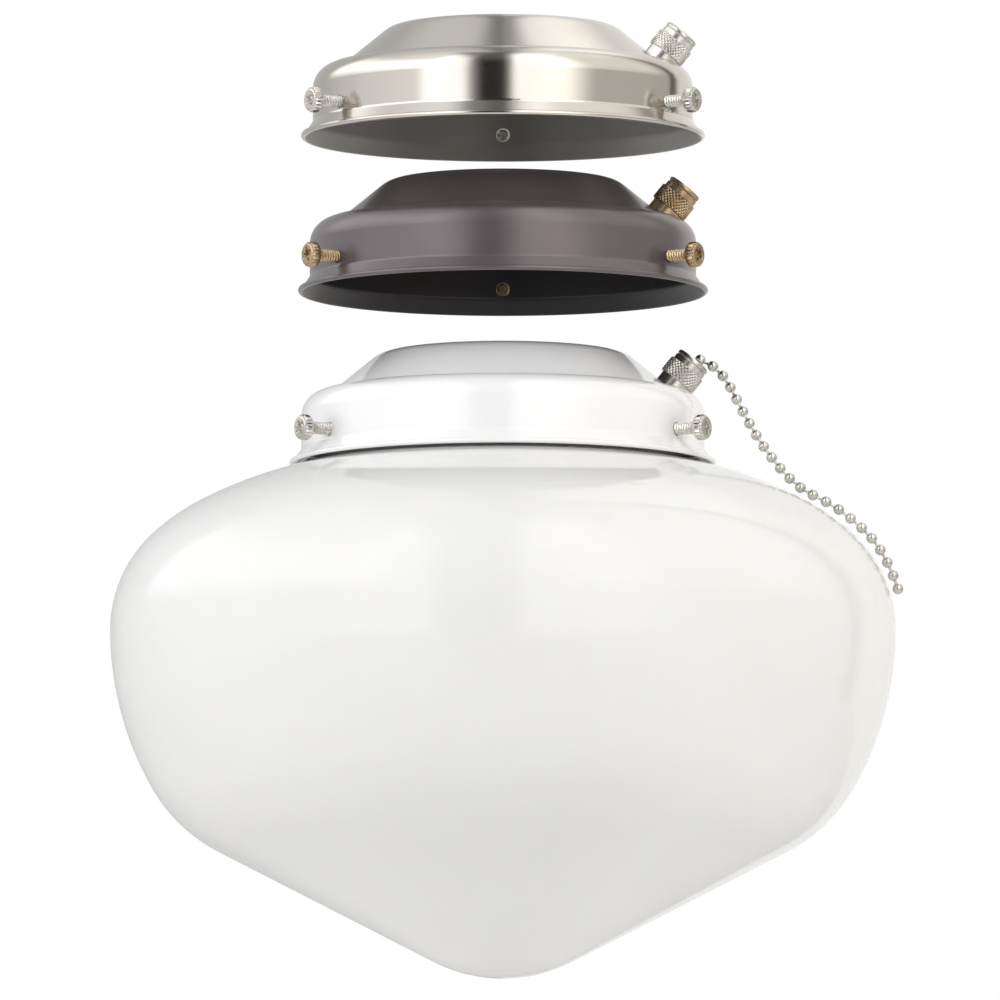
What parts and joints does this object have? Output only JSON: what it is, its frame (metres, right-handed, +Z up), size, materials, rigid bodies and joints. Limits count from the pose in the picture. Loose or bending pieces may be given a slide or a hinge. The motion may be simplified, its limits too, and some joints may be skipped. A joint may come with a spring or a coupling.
{
  "type": "ceiling fan light kit",
  "caption": "Opal bowl shade hung from a pressed fitter pan by thumb screws, with a pull chain switch, a lampholder and spare fitters in other finishes.",
  "frame": {"origin": "centre of the top face of the white fitter pan's disc, where it meets the fan", "axes": "+Z up along the axis of the nipple and the glass, +X towards the pull chain switch, -Y towards the front"},
  "size_m": [0.2178, 0.2158, 0.2641],
  "materials": {
    "white_enamel": "glossy white enamel",
    "dark_bronze": "satin dark bronze",
    "brushed_nickel": "brushed nickel plate",
    "bright_nickel": "bright nickel plate",
    "antique_brass": "aged brass plate",
    "opal_glass": "glossy white opal glass",
    "black_moulding": "moulded black",
    "white_moulding": "moulded white",
    "zinc_steel": "zinc plated steel",
    "spring_steel": "spring steel",
    "contact_brass": "plain brass",
    "phenolic": "moulded phenolic",
    "solder": "tinned",
    "lamp_diffuser": "milky diffuser",
    "white_board": "coated board",
    "white_insulation": "white insulation",
    "black_insulation": "black insulation"
  },
  "bodies": {
    "frame": {"bronze_fitter_pan": "dark_bronze", "bronze_switch_bushing": "antique_brass", "bronze_switch_nut": "antique_brass", "fitter_pan": "white_enamel", "glass_shade": "opal_glass", "hex_lock_nut": "zinc_steel", "lampholder_body": "phenolic", "lampholder_cap": "contact_brass", "lampholder_centre_contact": "contact_brass", "lampholder_screw_shell": "contact_brass", "lead_black": "black_insulation", "lead_switched": "black_insulation", "lead_white": "white_insulation", "lock_washer": "spring_steel", "nickel_fitter_pan": "brushed_nickel", "nickel_switch_bushing": "bright_nickel", "nickel_switch_nut": "bright_nickel", "switch_bushing": "bright_nickel", "switch_contacts": "contact_brass", "switch_cover": "black_moulding", "switch_housing": "black_moulding", "switch_nut": "bright_nickel", "switch_return_spring": "spring_steel", "switch_spindle": "zinc_steel", "terminal_screws": "contact_brass", "threaded_nipple": "zinc_steel"},
    "thumb_screw_left": {"thumb_screw_left": "bright_nickel"},
    "thumb_screw_right": {"thumb_screw_right": "bright_nickel"},
    "thumb_screw_back": {"thumb_screw_back": "bright_nickel"},
    "knurled_cap": {"knurled_cap": "bright_nickel"},
    "bronze_thumb_screw_left": {"bronze_thumb_screw_left": "antique_brass"},
    "bronze_thumb_screw_right": {"bronze_thumb_screw_right": "antique_brass"},
    "bronze_thumb_screw_back": {"bronze_thumb_screw_back": "antique_brass"},
    "bronze_knurled_cap": {"bronze_knurled_cap": "antique_brass"},
    "nickel_thumb_screw_left": {"nickel_thumb_screw_left": "bright_nickel"},
    "nickel_thumb_screw_right": {"nickel_thumb_screw_right": "bright_nickel"},
    "nickel_thumb_screw_back": {"nickel_thumb_screw_back": "bright_nickel"},
    "nickel_knurled_cap": {"nickel_knurled_cap": "bright_nickel"},
    "pull": {"pull_chain": "bright_nickel", "pull_stem": "zinc_steel"},
    "rotor": {"switch_rotor": "white_moulding"},
    "bulb": {"bulb_contact": "solder", "bulb_insulator": "black_moulding", "bulb_screw_base": "bright_nickel", "bulb_collar": "white_moulding", "bulb_globe": "lamp_diffuser", "bulb_led_board": "white_board"}
  },
  "joints": [
    {"name": "thumb_screw_left_slide", "type": "slide", "parent": "frame", "child": "thumb_screw_left", "axis": [-0.8599, -0.5105, 0], "range_m": [0, 0.005]},
    {"name": "thumb_screw_right_slide", "type": "slide", "parent": "frame", "child": "thumb_screw_right", "axis": [0.8599, -0.5105, 0], "range_m": [0, 0.005]},
    {"name": "thumb_screw_back_slide", "type": "slide", "parent": "frame", "child": "thumb_screw_back", "axis": [0, 1, 0], "range_m": [0, 0.005]},
    {"name": "knurled_cap_turn", "type": "hinge", "parent": "frame", "child": "knurled_cap", "pos_m": [0.04592, 0, -0.00991], "axis": [0.6332, 0, 0.774], "continuous": true},
    {"name": "bronze_thumb_screw_left_slide", "type": "slide", "parent": "frame", "child": "bronze_thumb_screw_left", "axis": [-0.8599, -0.5105, 0], "range_m": [-0.005, 0]},
    {"name": "bronze_thumb_screw_right_slide", "type": "slide", "parent": "frame", "child": "bronze_thumb_screw_right", "axis": [0.8599, -0.5105, 0], "range_m": [-0.005, 0]},
    {"name": "bronze_thumb_screw_back_slide", "type": "slide", "parent": "frame", "child": "bronze_thumb_screw_back", "axis": [0, 1, 0], "range_m": [-0.005, 0]},
    {"name": "bronze_knurled_cap_turn", "type": "hinge", "parent": "frame", "child": "bronze_knurled_cap", "pos_m": [0.04362, 0, 0.03789], "axis": [0.6332, 0, 0.774], "continuous": true},
    {"name": "nickel_thumb_screw_left_slide", "type": "slide", "parent": "frame", "child": "nickel_thumb_screw_left", "axis": [-0.8599, -0.5105, 0], "range_m": [-0.005, 0]},
    {"name": "nickel_thumb_screw_right_slide", "type": "slide", "parent": "frame", "child": "nickel_thumb_screw_right", "axis": [0.8599, -0.5105, 0], "range_m": [-0.005, 0]},
    {"name": "nickel_thumb_screw_back_slide", "type": "slide", "parent": "frame", "child": "nickel_thumb_screw_back", "axis": [0, 1, 0], "range_m": [-0.005, 0]},
    {"name": "nickel_knurled_cap_turn", "type": "hinge", "parent": "frame", "child": "nickel_knurled_cap", "pos_m": [0.04282, 0, 0.08069], "axis": [0.6332, 0, 0.774], "continuous": true},
    {"name": "pull_slide", "type": "slide", "parent": "frame", "child": "pull", "axis": [0.6332, 0, 0.774], "range_m": [0, 0.0054], "stiffness_N_per_m": 300},
    {"name": "rotor_turn", "type": "hinge", "parent": "frame", "child": "rotor", "pos_m": [0.03527, 0, -0.01606], "axis": [0, 1, 0], "range_deg": [0, 90]},
    {"name": "bulb_turn", "type": "hinge", "parent": "frame", "child": "bulb", "pos_m": [0, 0, -0.04], "axis": [0, 0, 1], "continuous": true}
  ],
  "couplings": [
    {"joint": "rotor_turn", "follows": "pull_slide", "rad_per_m": 290.6}
  ]
}
